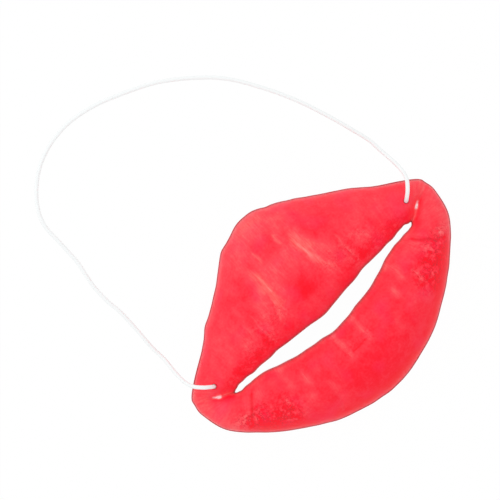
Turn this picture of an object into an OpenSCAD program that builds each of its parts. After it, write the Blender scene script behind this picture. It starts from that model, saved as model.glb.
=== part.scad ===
// Novelty lips mask: one thin moulded shell in the form of a closed-rim pair of lips with an
// open mouth slot, worn on a loop of round elastic cord.  Each end of the cord goes through a
// small hole beside a mouth corner and is stopped inside the shell by a knot.
// Millimetres.  +X runs along the mouth, +Y from the lower lip to the upper lip, +Z out of the
// face.  The rim lies on Z = 0, and the origin is under the middle of the outline.

/* [Lips] */
// Width across the mouth corners
lips_w = 139; // [115:1:170]
// Top of the upper lip above the mouth line
upper_h = 55.5; // [46:0.5:67]
// Bottom of the lower lip below the mouth line
lower_h = 42.5; // [35:0.5:51]
// Height of the upper lip's crest over the rim
upper_crest = 24; // [18:0.5:30]
// Height of the lower lip's crest over the rim
lower_crest = 26; // [18:0.5:32]
// Height of the shell beside the mouth corners
corner_crest = 11; // [9:0.5:14]
// Thickness of the moulded wall
wall = 1.5; // [1:0.1:2]
// Scale of the moulded wrinkles, 0 for smooth lips
wrinkle = 1; // [0:0.1:1.5]

/* [Mouth slot] */
// Width of the slot from tip to tip
slot_w = 104.6; // [86:0.2:120]
// Opening of the slot at its middle
slot_gap = 8.4; // [5:0.2:12]
// Opening of the slot near its tips
slot_tip_gap = 2.8; // [1.6:0.2:4]
// How far the tips stand above the middle of the slot
smile = 6.6; // [3:0.2:9]
// Height of the slot's tips above the mouth line
slot_tips_up = 3.9; // [2:0.1:5]
// Height of the slot's edge over the rim at its middle
slot_edge = 17; // [10:0.5:20]
// Height of the slot's edge over the rim at its tips
slot_tip_edge = 8.5; // [6:0.5:10]

/* [Cord] */
// Diameter of the elastic cord
cord_d = 1.8; // [1.2:0.1:2.4]
// Clearance all round the cord in its hole
cord_clearance = 0.2; // [0.1:0.05:0.5]
// Distance of each hole in from the end of the lips
hole_inset = 12.5; // [10:0.5:18]
// Height of each hole above the mouth line
hole_up = 12; // [10:0.5:14]

/* [Knots] */
// Turns that show round each knot
knot_turns = 2; // [1:1:3]
// Clearance between a knot and the wall that stops it
knot_clearance = 0.4; // [0.1:0.05:0.6]
// Straight end of cord left below the bend of each tail
tail_l = 6; // [3:0.5:10]

/* [Hidden] */

RED = [0.93, 0.13, 0.19];
WHITE = [0.94, 0.94, 0.93];

// ---- lips: outline, slot and section ----

// Stations in each quarter of the shell, from a mouth corner to the middle
QUARTER = 44;
STATIONS = 4 * QUARTER;
// Steps of the section's angle on the front and on the back of the wall
FRONT_STEP = 12;
BACK_STEP = 20;
// Share of a lip's breadth at which its crest stands, from the slot outwards
UPPER_CREST_AT = 0.36;
LOWER_CREST_AT = 0.42;
// Fullness of the outer slope (1 is an ellipse, less is squarer) and of the crest line
SLOPE_POWER = 0.77;
CREST_POWER = 0.9;
// Sharpness of the slot's middle line, of its narrowing and of its round ends
SMILE_POWER = 1.6;
NARROW_AT = 0.585;
NARROW_POWER = 6;
END_POWER = 20;

// Middle of the outline above the mouth line
MID_UP = (upper_h - lower_h) / 2;

// Right half of the outline from a mouth corner to the middle of each lip, in shares of half
// the width and of the lip's height; each list starts one point past the corner
UPPER_EDGE = [
    [1, 0.11], [0.992, 0.215], [0.974, 0.27], [0.892, 0.35], [0.72, 0.49], [0.575, 0.63],
    [0.375, 0.79], [0.245, 0.9], [0.13, 0.965], [0, 1], [-0.13, 0.965]
];
LOWER_EDGE = [
    [0.974, 0.27], [0.992, 0.215], [1, 0.11], [0.95, -0.14], [0.787, -0.42], [0.575, -0.68],
    [0.317, -0.9], [0, -1], [-0.317, -0.9]
];

// Wrinkles, given for the right half and mirrored: start, end, depth and half width.  They are
// placed from the mouth line; a negative depth is a ridge
WRINKLES = [
    [[11, 37], [11, 18], 0.9, 1.8], [[11, 18], [16, 9], 0.5, 1.6],
    [[5.5, 44], [5.5, 35], 0.5, 1.6], [[25, 22], [25, 7], 0.6, 1.7],
    [[22, 44], [26, 29], 0.35, 3.5], [[36, 30], [41, 14], 0.6, 2.6],
    [[5.5, -9], [5.5, -19], 0.8, 1.8], [[19, -19], [23, -33], 0.8, 2],
    [[33, -2], [33, -11], 0.6, 1.8], [[38.6, -11], [40, -19], 0.6, 1.8],
    [[26, -9], [27, -17], 0.6, 1.8], [[48, -1], [57, -10], 0.8, 1.6]
];
// Swelling at the middle of the upper lip: how far up, how high and how wide
TUBERCLE = [15, 1.2, 6];
// Fold that runs from a slot tip out to the end of the lips, and the pit in it
CORNER_FOLD = [[53.5, 4.2], [64, 9.8], 0.7, 2.2];
CORNER_PIT = [[57.6, 6.8], [60, 8.1], 0.6, 1.5];
// Distance from the slot's edge over which the wrinkles fade in
FADE = 3;

function scaled(p) = [p.x * lips_w / 2, p.y * (p.y > 0 ? upper_h : lower_h)];

// Point at t on the smooth curve from b to c, with a and d as its neighbours
function curve(a, b, c, d, t) =
    (2 * b + (c - a) * t + (2 * a - 5 * b + 4 * c - d) * t ^ 2
        + (3 * b - a - 3 * c + d) * t ^ 3) / 2;

// Fine points along the smooth curve through all but the first and last of a list
function smooth(list, steps) = [
    for (i = [1 : len(list) - 3], k = [0 : steps - 1])
        curve(list[i - 1], list[i], list[i + 1], list[i + 2], k / steps),
    list[len(list) - 2]
];

// Distance from the first point to each point of a list
function run_lengths(pts) = [
    for (i = 0, d = 0; i < len(pts);
        i = i + 1, d = i < len(pts) ? d + norm(pts[i] - pts[i - 1]) : d) d
];

// Coordinates along a curve, each as [share of its length, value]
function along(pts) =
    let (runs = run_lengths(pts), full = runs[len(runs) - 1])
    [for (axis = [0, 1]) [for (i = [0 : len(pts) - 1]) [runs[i] / full, pts[i][axis]]]];

upper_rim = along(smooth([for (p = UPPER_EDGE) scaled(p)], 8));
lower_rim = along(smooth([for (p = LOWER_EDGE) scaled(p)], 8));

// A place on the shell is f, the share of the way from a mouth corner to the middle, and lip,
// 1 on the upper lip and -1 on the lower one
function rim_point(f, lip) = [for (axis = lip > 0 ? upper_rim : lower_rim) lookup(f, axis)];

function slot_point(f, lip) =
    let (
        u = cos(90 * f),
        middle = smile * (sin(90 * u) ^ SMILE_POWER - 1) + slot_tips_up,
        full = 1 / (1 + (u / NARROW_AT) ^ NARROW_POWER),
        gap = (slot_tip_gap + (slot_gap - slot_tip_gap) * full) * sqrt(1 - u ^ END_POWER)
    )
    [slot_w / 2 * u, middle + lip * gap / 2];

function crest_height(f, lip) =
    let (middle = lip > 0 ? upper_crest : lower_crest)
    corner_crest + (middle - corner_crest) * sin(90 * f) ^ CREST_POWER;

function edge_height(f) = slot_tip_edge + (slot_edge - slot_tip_edge) * sin(90 * f);

// Section of a lip at angle a: -90 at the slot, 0 on the crest, 90 at the rim.  It gives the
// share of the breadth and the height
function section(f, lip, a) =
    let (
        at = lip > 0 ? UPPER_CREST_AT : LOWER_CREST_AT,
        top = crest_height(f, lip),
        foot = edge_height(f)
    )
    a < 0 ? [at + at * sin(a), foot + (top - foot) * cos(a)]
          : [at + (1 - at) * sin(a), a < 90 ? top * cos(a) ^ SLOPE_POWER : 0];

// Direction of that section, which is upright at both of its ends
function section_dir(f, lip, a) =
    abs(a) == 90 ? [0, -sign(a)] :
    let (step = 0.5) section(f, lip, a + step) - section(f, lip, a - step);

function to_segment(p, a, b) =
    let (t = max(0, min(1, (p - a) * (b - a) / ((b - a) * (b - a))))) norm(p - a - t * (b - a));

function bell(distance, half_width) = exp(-(distance / half_width) ^ 2);

function ease(t) = let (c = max(0, min(1, t))) c * c * (3 - 2 * c);

// Height that the wrinkles, the tubercle and the corner folds add at a point of the right half
function relief(p) =
    let (grooves = [for (g = concat(WRINKLES, [CORNER_FOLD, CORNER_PIT]))
        g[2] * bell(to_segment(p, g[0], g[1]), g[3])])
    wrinkle * (TUBERCLE[1] * bell(norm(p - [0, TUBERCLE[0]]), TUBERCLE[2])
        - grooves * [for (g = grooves) 1]);

// Stations run from the right corner over the upper lip, and back along the lower lip
function share_at(i) = let (r = i % QUARTER / QUARTER) floor(i / QUARTER) % 2 == 0 ? r : 1 - r;
function lip_at(i) = i < 2 * QUARTER ? 1 : -1;
function hand_at(i) = i >= QUARTER && i < 3 * QUARTER ? -1 : 1;

function front_point(station, a) =
    let (
        i = (station + STATIONS) % STATIONS,
        f = share_at(i),
        lip = lip_at(i),
        s = section(f, lip, a),
        inner = slot_point(f, lip),
        p = inner + s[0] * (rim_point(f, lip) - inner),
        shown = a == 90 ? 0 : ease(norm(p - inner) / FADE)
    )
    [hand_at(i) * p.x, p.y - MID_UP, s[1] + shown * relief(p)];

// The same place on the inside, one wall thickness under the front
function back_point(i, a) =
    let (
        f = share_at(i),
        lip = lip_at(i),
        breadth = rim_point(f, lip) - slot_point(f, lip),
        d = section_dir(f, lip, a),
        out = [hand_at(i) * breadth.x * d[0], breadth.y * d[0], d[1]],
        normal = cross(out, front_point(i + 1, a) - front_point(i - 1, a))
    )
    front_point(i, a) - wall * normal / norm(normal);

front = [for (a = [-90 : FRONT_STEP : 90], i = [0 : STATIONS - 1]) front_point(i, a)];
back = [for (a = [90 : -BACK_STEP : -90], i = [0 : STATIONS - 1]) back_point(i, a)];

// Triangles of a closed strip between ring a and ring b of n points each
function strip(a, b, n) = [
    for (i = [0 : n - 1])
        let (j = (i + 1) % n)
        each [[a * n + i, a * n + j, b * n + j], [a * n + i, b * n + j, b * n + i]]
];

// ---- cord: holes, route and tube ----

hole = [lips_w / 2 - hole_inset, hole_up - MID_UP];
hole_d = cord_d + 2 * cord_clearance;
// The knot's turns are cord laid round the cord
turn_r = cord_d;
// Radius of a tail's bend in cord diameters, where there is room for it
TAIL_BEND = 1.6;

// Places on the right half of the upper lip near its corner, finely spaced
NEAR = [for (i = [0 : 0.25 : QUARTER / 3], a = [-75 : 5 : 75]) [i, a]];

function from_hole(p) = norm([p.x, p.y] - hole);

function mean(list) = list * [for (v = list) 1] / len(list);

// Height of the wall's outside at the hole
hole_z = mean([
    for (n = NEAR) let (p = front_point(n[0], n[1])) if (from_hole(p) < hole_d / 2) p.z
]);

// How far the knot's round shoulder lies under its top, at a distance from the axis
function shoulder(r) =
    r < turn_r ? 0 : cord_d / 2 - sqrt(max(0, (cord_d / 2) ^ 2 - (r - turn_r) ^ 2));

// Height of the knot's top, where it comes up against the inside of the wall
knot_z = min([
    for (n = NEAR)
        let (p = back_point(n[0], n[1]), r = from_hole(p))
        if (r < turn_r + cord_d / 2) p.z + shoulder(r)
]) - knot_clearance;

// Height of the turns, and the radius of the tail's bend under them, which stays inside the shell
knot_h = knot_turns * cord_d;
tail_r = min(TAIL_BEND * cord_d, knot_z - knot_h - cord_d / 2 - knot_clearance);

// Sides of the tube, and about how far apart its rings are
CORD_SIDES = 8;
RING_GAP = 5;

// Where the cord goes from its hole, from the outside of the wall there
LEAD = [
    [0, 0, 1], [0.3, 0.2, 2.7], [1.4, 1.1, 4.6], [3.6, 3, 5.8], [6.3, 6.2, 4.4], [7.8, 10, -2],
    [8, 16, -7.5], [7.5, 23, -11.8]
];
// The loop that lies on the ground, from the right side round to the left
LOOP = [
    [64, 35], [62, 43], [58.5, 55], [53.5, 69], [46.5, 83.5], [38, 97], [28, 107], [16, 116],
    [4, 122], [-10, 127.5], [-24, 130], [-37, 128.5], [-48, 123.5], [-57, 115], [-61.5, 106],
    [-62, 95], [-62.5, 84], [-64.5, 73], [-64.8, 64], [-64, 56], [-64.3, 45], [-64.8, 36]
];

function lead_point(p, hand) = [hand * (hole.x + p.x), hole.y + p.y, hole_z + p.z];

route = concat(
    [[hole.x, hole.y, knot_z]],
    [for (p = LEAD) lead_point(p, 1)],
    [for (p = LOOP) [p.x, p.y, cord_d / 2]],
    [for (i = [len(LEAD) - 1 : -1 : 0]) lead_point(LEAD[i], -1)],
    [[-hole.x, hole.y, knot_z]]
);

// Rings' centres along the route; the cord never sinks into the ground
function ring_centres(pts) =
    let (
        last = len(pts) - 1,
        ends = concat([2 * pts[0] - pts[1]], pts, [2 * pts[last] - pts[last - 1]])
    )
    [
        for (i = [0 : last - 1])
            let (steps = max(1, round(norm(pts[i + 1] - pts[i]) / RING_GAP)))
            for (k = [0 : steps - 1])
                let (p = curve(ends[i], ends[i + 1], ends[i + 2], ends[i + 3], k / steps))
                [p.x, p.y, max(p.z, cord_d / 2)],
        pts[last]
    ];

function unit(v) = v / norm(v);

function direction(pts, i) =
    let (last = len(pts) - 1)
    i == 0 || i == last ? [0, 0, i == 0 ? 1 : -1] : unit(pts[i + 1] - pts[i - 1]);

// A side direction carried along the path without twisting it
function carried(side, dir) = unit(side - dir * (side * dir));

module tube(centres, d, sides) {
    rings = len(centres);
    dirs = [for (i = [0 : rings - 1]) direction(centres, i)];
    across = [
        for (i = 0, v = [1, 0, 0]; i < rings;
            i = i + 1, v = i < rings ? carried(v, dirs[i]) : v) v
    ];
    points = [
        for (i = [0 : rings - 1], k = [0 : sides - 1])
            let (turn = 360 * k / sides)
            centres[i] + d / 2 * (across[i] * cos(turn) + cross(dirs[i], across[i]) * sin(turn))
    ];
    walls = [for (i = [0 : rings - 2]) each strip(i + 1, i, sides)];
    first = [for (k = [0 : sides - 1]) k];
    final = [for (k = [sides - 1 : -1 : 0]) (rings - 1) * sides + k];
    polyhedron(points, concat(walls, [first, final]));
}

// ---- pieces ----

module lips_shell() {
    fronts = len(front) / STATIONS;
    rings = fronts + len(back) / STATIONS;
    color(RED) difference() {
        polyhedron(
            concat(front, back),
            [for (r = [0 : rings - 1]) each strip((r + 1) % rings, r, STATIONS)]
        );
        for (hand = [-1, 1])
            translate([hand * hole.x, hole.y, 0]) cylinder(d = hole_d, h = 2 * hole_z, $fn = 48);
    }
}

module elastic_cord() {
    color(WHITE) tube(ring_centres(route), cord_d, CORD_SIDES);
}

// Stopper knot under a hole: its turns round the cord, and a tail that bends inwards
module knot(hand) {
    color(WHITE) translate([hand * hole.x, hole.y, knot_z]) {
        for (turn = [0 : knot_turns - 1])
            translate([0, 0, -(turn + 0.5) * cord_d])
                rotate_extrude($fn = 48) translate([turn_r, 0]) circle(d = cord_d, $fn = 32);
        translate([0, 0, -knot_h]) cylinder(r = turn_r, h = knot_h, $fn = 48);
        translate([0, 0, -knot_h]) rotate([90, 0, hand > 0 ? 0 : 180]) translate([-tail_r, 0]) {
            rotate([0, 0, -90]) rotate_extrude(angle = 90, $fn = 48)
                translate([tail_r, 0]) circle(d = cord_d, $fn = 32);
            translate([0, -tail_r]) rotate([0, -90, 0]) cylinder(d = cord_d, h = tail_l, $fn = 32);
        }
    }
}

module knot_left() knot(-1);

module knot_right() knot(1);

lips_shell();
elastic_cord();
knot_left();
knot_right();
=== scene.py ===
"""Novelty lips mask: a moulded red shell worn on a loop of braided elastic.

The shell is lofted from the same rules as the CAD solid, with finer folds and cut edges.
One Geometry Nodes tree braids the elastic and its two stopper knots. Another plants the
rubber threads and the frayed cover at the cord's cut ends.
Sizes are in millimetres until a mesh is made, and metres from there on.
"""

from __future__ import annotations

import logging
import math
from dataclasses import dataclass
from enum import Enum
from typing import Any, Callable, Mapping, Optional, Sequence, Union

import bmesh
import bpy
import numpy as np
from bmesh.types import BMesh, BMVert
from bpy.types import ColorRamp, Material, Mesh, Node, NodeSocket, NodeTree, Object
from mathutils import Matrix, Vector


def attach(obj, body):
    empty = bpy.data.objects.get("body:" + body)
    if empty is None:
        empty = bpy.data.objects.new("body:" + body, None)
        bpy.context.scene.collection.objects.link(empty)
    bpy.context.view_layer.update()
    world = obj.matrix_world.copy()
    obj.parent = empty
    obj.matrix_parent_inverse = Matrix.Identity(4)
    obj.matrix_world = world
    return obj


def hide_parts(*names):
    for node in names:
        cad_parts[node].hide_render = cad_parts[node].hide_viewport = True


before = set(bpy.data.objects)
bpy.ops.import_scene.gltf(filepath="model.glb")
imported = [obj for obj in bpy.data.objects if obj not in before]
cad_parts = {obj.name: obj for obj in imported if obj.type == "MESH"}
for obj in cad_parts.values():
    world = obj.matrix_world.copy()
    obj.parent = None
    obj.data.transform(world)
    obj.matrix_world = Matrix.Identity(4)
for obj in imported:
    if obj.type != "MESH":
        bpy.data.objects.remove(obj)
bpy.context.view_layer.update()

LOG = logging.getLogger("lips_mask")

MM = 0.001
BODY = "root"

Array = np.ndarray
Colour = tuple[float, float, float]
Point = tuple[float, float, float]
Place = tuple[float, float]
Pair = tuple[float, float]


# ---------------------------------------------------------------- small maths


def bell(distance: Array, half_width: float) -> Array:
    """Gives a smooth bump that is 1 at no distance and fades out past its half width."""
    return np.exp(-((distance / half_width) ** 2))


def ease(value: Array, low: float, high: float) -> Array:
    """Rises smoothly from 0 at low to 1 at high; low may be the larger of the two."""
    share = np.clip((value - low) / (high - low), 0.0, 1.0)
    return share * share * (3.0 - 2.0 * share)


def to_stroke(x: Array, y: Array, points: Sequence[Place]) -> Array:
    """Measures how far places lie from a stroke of straight pieces.

    Args:
        x: Places across.
        y: Places up.
        points: Corners of the stroke; a single corner is a spot.

    Returns:
        The distance of each place to the nearest point of the stroke.
    """
    if len(points) == 1:
        return np.hypot(x - points[0][0], y - points[0][1])
    best = np.full(np.shape(x), np.inf)
    for (ax, ay), (bx, by) in zip(points, points[1:]):
        dx, dy = bx - ax, by - ay
        share = np.clip(((x - ax) * dx + (y - ay) * dy) / (dx * dx + dy * dy), 0.0, 1.0)
        best = np.minimum(best, np.hypot(x - ax - share * dx, y - ay - share * dy))
    return best


def smooth_through(points: Sequence[Sequence[float]], steps: int) -> Array:
    """Lays a Catmull-Rom curve through all but the first and last of a list of points.

    Args:
        points: The curve's points with one neighbour more at each end.
        steps: Number of pieces between two points.

    Returns:
        The curve's points, one row each.
    """
    p = np.asarray(points, dtype=float)
    t = (np.arange(steps) / steps)[None, :, None]
    a, b, c, d = (p[k : len(p) - 3 + k, None, :] for k in range(4))
    bend = 2 * b + (c - a) * t + (2 * a - 5 * b + 4 * c - d) * t**2
    fine = (bend + (3 * b - a - 3 * c + d) * t**3) / 2
    return np.vstack([fine.reshape(-1, p.shape[1]), p[-2]])


def run_lengths(points: Array) -> Array:
    """Gives the length along a line from its first point to each of its points."""
    return np.concatenate([[0.0], np.cumsum(np.linalg.norm(np.diff(points, axis=0), axis=1))])


def evenly(points: Array, gap: float) -> Array:
    """Spaces points evenly along a line.

    Args:
        points: The line's own points.
        gap: About how far apart the new ones lie.

    Returns:
        The new points, one row each.
    """
    runs = run_lengths(points)
    places = np.linspace(0.0, runs[-1], max(2, round(runs[-1] / gap) + 1))
    return np.column_stack([np.interp(places, runs, axis) for axis in points.T])


def quadric(x: Any, y: Any) -> Array:
    """Gives the six terms of a curved patch at a place or places."""
    return np.array([x**0, x, y, x * x, x * y, y * y])


def lattice_noise(u: Array, v: Array, seed: int) -> Array:
    """Gives smooth noise that repeats every 64 cells.

    Args:
        u: Places along the first side of the lattice, in cells.
        v: Places along its second side.
        seed: Which lattice of random values is read.

    Returns:
        Values between -1 and 1.
    """
    cells = 64
    table = np.random.default_rng(seed).uniform(-1.0, 1.0, (cells, cells))
    i, j = np.floor(u).astype(int), np.floor(v).astype(int)
    s, t = ease(u - i, 0.0, 1.0), ease(v - j, 0.0, 1.0)
    low, high = (
        table[i % cells, (j + k) % cells] * (1 - s) + table[(i + 1) % cells, (j + k) % cells] * s
        for k in (0, 1)
    )
    return low * (1 - t) + high * t


# ---------------------------------------------------------------- node graphs


def _operator(operation: str, swapped: bool = False) -> Callable[..., "Wire"]:
    """Makes an operator of Wire that adds a Math node.

    Args:
        operation: What the node does.
        swapped: Whether the wire comes last.

    Returns:
        The operator.
    """

    def apply(wire: "Wire", *others: "Term") -> "Wire":
        """Adds the node on the wire and the other values."""
        values = (*others, wire) if swapped else (wire, *others)
        return wire.graph.add("ShaderNodeMath", {"operation": operation}, dict(enumerate(values)))

    return apply


class Wire:
    """A node's output that takes part in Python arithmetic."""

    def __init__(self, graph: "Graph", socket: NodeSocket) -> None:
        """Keeps the socket and the graph that it belongs to."""
        self.graph, self.socket = graph, socket

    __add__, __mul__, __pow__ = map(_operator, ("ADD", "MULTIPLY", "POWER"))
    __sub__, __rsub__ = _operator("SUBTRACT"), _operator("SUBTRACT", swapped=True)
    __truediv__, __rtruediv__ = _operator("DIVIDE"), _operator("DIVIDE", swapped=True)
    floor, fraction, larger = map(_operator, ("FLOOR", "FRACT", "MAXIMUM"))
    cosine, sine = map(_operator, ("COSINE", "SINE"))


Term = Union[Wire, float]


class Graph:
    """A node tree that is written in Python expressions."""

    def __init__(self, tree: NodeTree) -> None:
        """Empties the tree and takes it over."""
        self.tree = tree
        tree.nodes.clear()

    def add(
        self,
        kind: str,
        settings: Optional[Mapping[str, Any]] = None,
        sockets: Optional[Mapping[Union[str, int], Any]] = None,
        output: Union[str, int] = 0,
    ) -> Wire:
        """Adds a node, sets it, and fills or links its inputs.

        Args:
            kind: The node's type.
            settings: Its settings; "stops" holds a ramp's places and colours.
            sockets: Values or wires by the input's name or number.
            output: Name or number of the output that is wanted.

        Returns:
            That output, ready for arithmetic.
        """
        node = self.tree.nodes.new(kind)
        for name, value in (settings or {}).items():
            if name == "stops":
                self._set_stops(node.color_ramp, value)
            else:
                setattr(node, name, value)
        for key, value in (sockets or {}).items():
            socket = self._enabled(node, key)
            if isinstance(value, Wire):
                self.tree.links.new(value.socket, socket)
            else:
                socket.default_value = (*value, 1.0) if socket.type == "RGBA" else value
        return Wire(self, node.outputs[output] if len(node.outputs) else None)

    @staticmethod
    def _enabled(node: Node, key: Union[str, int]) -> NodeSocket:
        """Finds an input of a node.

        Args:
            node: The node.
            key: The input's number, or its name among those in use.

        Returns:
            The input.
        """
        if isinstance(key, int):
            return node.inputs[key]
        return next(s for s in node.inputs if s.name == key and s.enabled)

    @staticmethod
    def _set_stops(ramp: ColorRamp, stops: Sequence[tuple[float, Colour]]) -> None:
        """Gives a colour ramp its stops.

        Args:
            ramp: The ramp.
            stops: The place and the colour of each.
        """
        while len(ramp.elements) < len(stops):
            ramp.elements.new(1.0)
        for element, (place, colour) in zip(ramp.elements, stops):
            element.position = place
            element.color = (*colour, 1.0)

    def attribute(self, name: str) -> Wire:
        """Reads a number that the mesh carries."""
        return self.add("ShaderNodeAttribute", {"attribute_name": name}, output="Fac")

    def noise(self, scale: float, detail: float, where: Optional[Wire] = None) -> Wire:
        """Adds an even noise.

        Args:
            scale: Number of lumps in a metre.
            detail: Number of finer layers.
            where: Place to read it at; the object's own coordinates if left out.

        Returns:
            The noise, about 0.5 on average.
        """
        place = where or self.add("ShaderNodeTexCoord", output="Object")
        return self.add(
            "ShaderNodeTexNoise", None, {"Vector": place, "Scale": scale, "Detail": detail}
        )

    def mix(self, share: Wire, first: Any, second: Any) -> Wire:
        """Goes from one colour to another as the share goes from 0 to 1."""
        return self.add(
            "ShaderNodeMix", {"data_type": "RGBA"},
            {"Factor": share, "A": first, "B": second}, "Result",
        )

    def surface(
        self, colour: Wire, matt: Wire, relief: tuple[Wire, float, float], **fixed: Any
    ) -> None:
        """Closes a material with a Principled shader over a fine relief.

        Args:
            colour: Base colour.
            matt: Roughness.
            relief: The relief's height, how strongly it shows, and its reach in metres.
            fixed: The shader's constant inputs, with _ for each space in a name.
        """
        height, strength, reach = relief
        bump = self.add(
            "ShaderNodeBump", None, {"Strength": strength, "Distance": reach, "Height": height}
        )
        inputs = {"Base Color": colour, "Roughness": matt, "Normal": bump}
        inputs.update({name.replace("_", " "): value for name, value in fixed.items()})
        shader = self.add("ShaderNodeBsdfPrincipled", {"subsurface_method": "RANDOM_WALK"}, inputs)
        self.add("ShaderNodeOutputMaterial", None, {"Surface": shader})


def new_material(name: str) -> tuple[Material, Graph]:
    """Makes an empty node material.

    Args:
        name: The material's name.

    Returns:
        The material and its graph.
    """
    material = bpy.data.materials.new(name)
    material.use_nodes = True
    return material, Graph(material.node_tree)


# ---------------------------------------------------------------- finishes


@dataclass(frozen=True)
class MouldedVinyl:
    """Satin red vinyl, paler on its creases, where it is thinned by stretching and carries painted
    highlights, and darker with painted shade in its hollows and at its cut edges and foot.

    The mesh carries "tone", the place among the colour stops, which holds painted highlights,
    painted shade and the vinyl's own mottling; "along" and "across", the place
    on the lips in millimetres; "crazed", how much the skin is broken up by specks and fine
    cracks; "streaked", how much it is wrinkled; "stretched", how much a crease has
    turned the colour, by thinned vinyl and painted highlight; and "painted_shade", how much
    painted shade darkens a cut edge, the foot and a crease line. A grain is a noise's scale and
    detail. A thread pattern is its detail, its scales along and across, and its row.
    """

    name: str = "moulded_red_vinyl"
    # The palest stops, up to near white, colour painted highlights: the creases' pale lines and
    # the corner pits.
    stops: tuple[tuple[float, Colour], ...] = (
        (-0.3, (0.98, 0.0, 0.014)),
        (-0.15, (0.99, 0.008, 0.028)),
        (0.0, (0.99, 0.028, 0.053)),
        (0.15, (0.99, 0.054, 0.077)),
        (0.35, (1.0, 0.1, 0.112)),
        (0.7, (1.0, 0.21, 0.235)),
        (1.2, (1.0, 0.45, 0.47)),
        (1.7, (1.0, 0.9, 0.88)),
    )
    # Dark red of the painted shade at the cut edges, the foot and a crease line, and of the fine
    # cracks.
    edge: Colour = (0.3, 0.045, 0.05)
    blush: Colour = (0.98, 0.02, 0.11)
    blush_share: float = 0.35
    blush_contrast: float = 3.0
    blush_grain: Pair = (90.0, 1.0)
    # Colour of the upper lip's creases, where the vinyl is thinned by stretching and a painted
    # highlight lies.
    stretched: Colour = (1.0, 0.17, 0.115)
    streaks: tuple[float, ...] = (3.0, 0.8, 0.13, 3.5)
    strands: tuple[float, ...] = (2.0, 1.9, 0.3, 8.5)
    wisp: float = 0.1
    strand: float = 1.7
    cloud: float = 0.32
    cloud_grain: Pair = (240.0, 2.0)
    speck: float = 0.24
    speck_grain: Pair = (950.0, 3.0)
    craze: float = 0.8
    craze_speck: float = 0.6
    craze_grain: Pair = (430.0, 2.0)
    crack: float = 0.3
    crack_dark: float = 0.25
    crack_width: float = 0.03
    crack_grain: Pair = (430.0, 3.0)
    roughness: float = 0.46
    roughness_spread: float = 0.12
    roughness_grain: Pair = (300.0, 2.0)
    coat: float = 0.04
    coat_roughness: float = 0.25
    ior: float = 1.25
    subsurface: float = 0.1
    subsurface_colour: Colour = (1.0, 0.22, 0.16)
    subsurface_reach: float = 2.0 * MM
    ripple_strength: float = 0.6
    ripple_height: float = 0.07 * MM
    fine_ripple: Pair = (1300.0, 2.0)
    fine_share: float = 0.3
    crazed_share: float = 0.8
    broad_ripple: Pair = (420.0, 2.0)
    broad_share: float = 0.5

    def _threads(self, g: Graph, pattern: Sequence[float]) -> Wire:
        """Adds a noise that is drawn out from the slot to the rim.

        Args:
            g: The material's graph.
            pattern: Its detail, its scales along and across the lips, and its row.

        Returns:
            The noise.
        """
        detail, along, across, row = pattern
        return g.noise(1.0, detail, g.add("ShaderNodeCombineXYZ", None, {
            0: g.attribute("along") * along, 1: g.attribute("across") * across, 2: row,
        }))

    def _cracks(self, g: Graph) -> Wire:
        """Draws a net of fine lines in the crazed skin.

        Args:
            g: The material's graph.

        Returns:
            The lines, from 0 to 1.
        """
        ridge = g.noise(*self.crack_grain) - 0.5
        line = (self.crack_width - ridge.larger(ridge * -1.0)).larger(0.0)
        return line * (g.attribute("crazed") * (1.0 / self.crack_width))

    def _tone(self, g: Graph, streaks: Wire, strands: Wire, cracks: Wire) -> Wire:
        """Works out the place among the colour stops.

        Args:
            g: The material's graph.
            streaks: Broad noise along the wrinkles.
            strands: Fine noise along the wrinkles.
            cracks: The net of fine lines.

        Returns:
            The place.
        """
        tone, crazed = g.attribute("tone"), g.attribute("crazed")
        pale = tone.larger(0.0)
        cloud, speck = g.noise(*self.cloud_grain) - 0.5, g.noise(*self.speck_grain) - 0.5
        coarse = g.noise(*self.craze_grain) - 0.5
        # The strand and streak noises break the pale painted highlights into wisps.
        tone = tone + (strands - 0.5) * (pale * self.strand)
        tone = tone + (streaks - 0.5) * (pale + g.attribute("streaked") * self.wisp)
        tone = tone + cloud * self.cloud + coarse * (crazed * self.craze)
        tone = tone + speck * (crazed * self.craze * self.craze_speck + self.speck)
        return tone - cracks * self.crack

    def _colour(self, g: Graph, streaks: Wire, strands: Wire) -> Wire:
        """Works out the base colour.

        Args:
            g: The material's graph.
            streaks: Broad noise along the wrinkles.
            strands: Fine noise along the wrinkles.

        Returns:
            The colour.
        """
        cracks = self._cracks(g)
        deepest, span = self.stops[0][0], self.stops[-1][0] - self.stops[0][0]
        stops = tuple(((tone - deepest) / span, colour) for tone, colour in self.stops)
        shade = (self._tone(g, streaks, strands, cracks) - deepest) / span
        ramp = g.add("ShaderNodeValToRGB", {"stops": stops}, {"Fac": shade}, "Color")
        warmth = (g.noise(*self.blush_grain) - 0.5) * self.blush_contrast
        warm = g.mix(warmth.larger(0.0) * self.blush_share, ramp, self.blush)
        # The creases turn orange where the vinyl is thinned by stretching and a painted highlight
        # lies.
        with_stretch_and_highlight = g.mix(g.attribute("stretched") * (strands * 2.0), warm, self.stretched)
        # Painted shade darkens the cut edges, the foot and a crease line; the cracks are real dark
        # lines.
        return g.mix(g.attribute("painted_shade") + cracks * self.crack_dark, with_stretch_and_highlight, self.edge)

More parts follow.
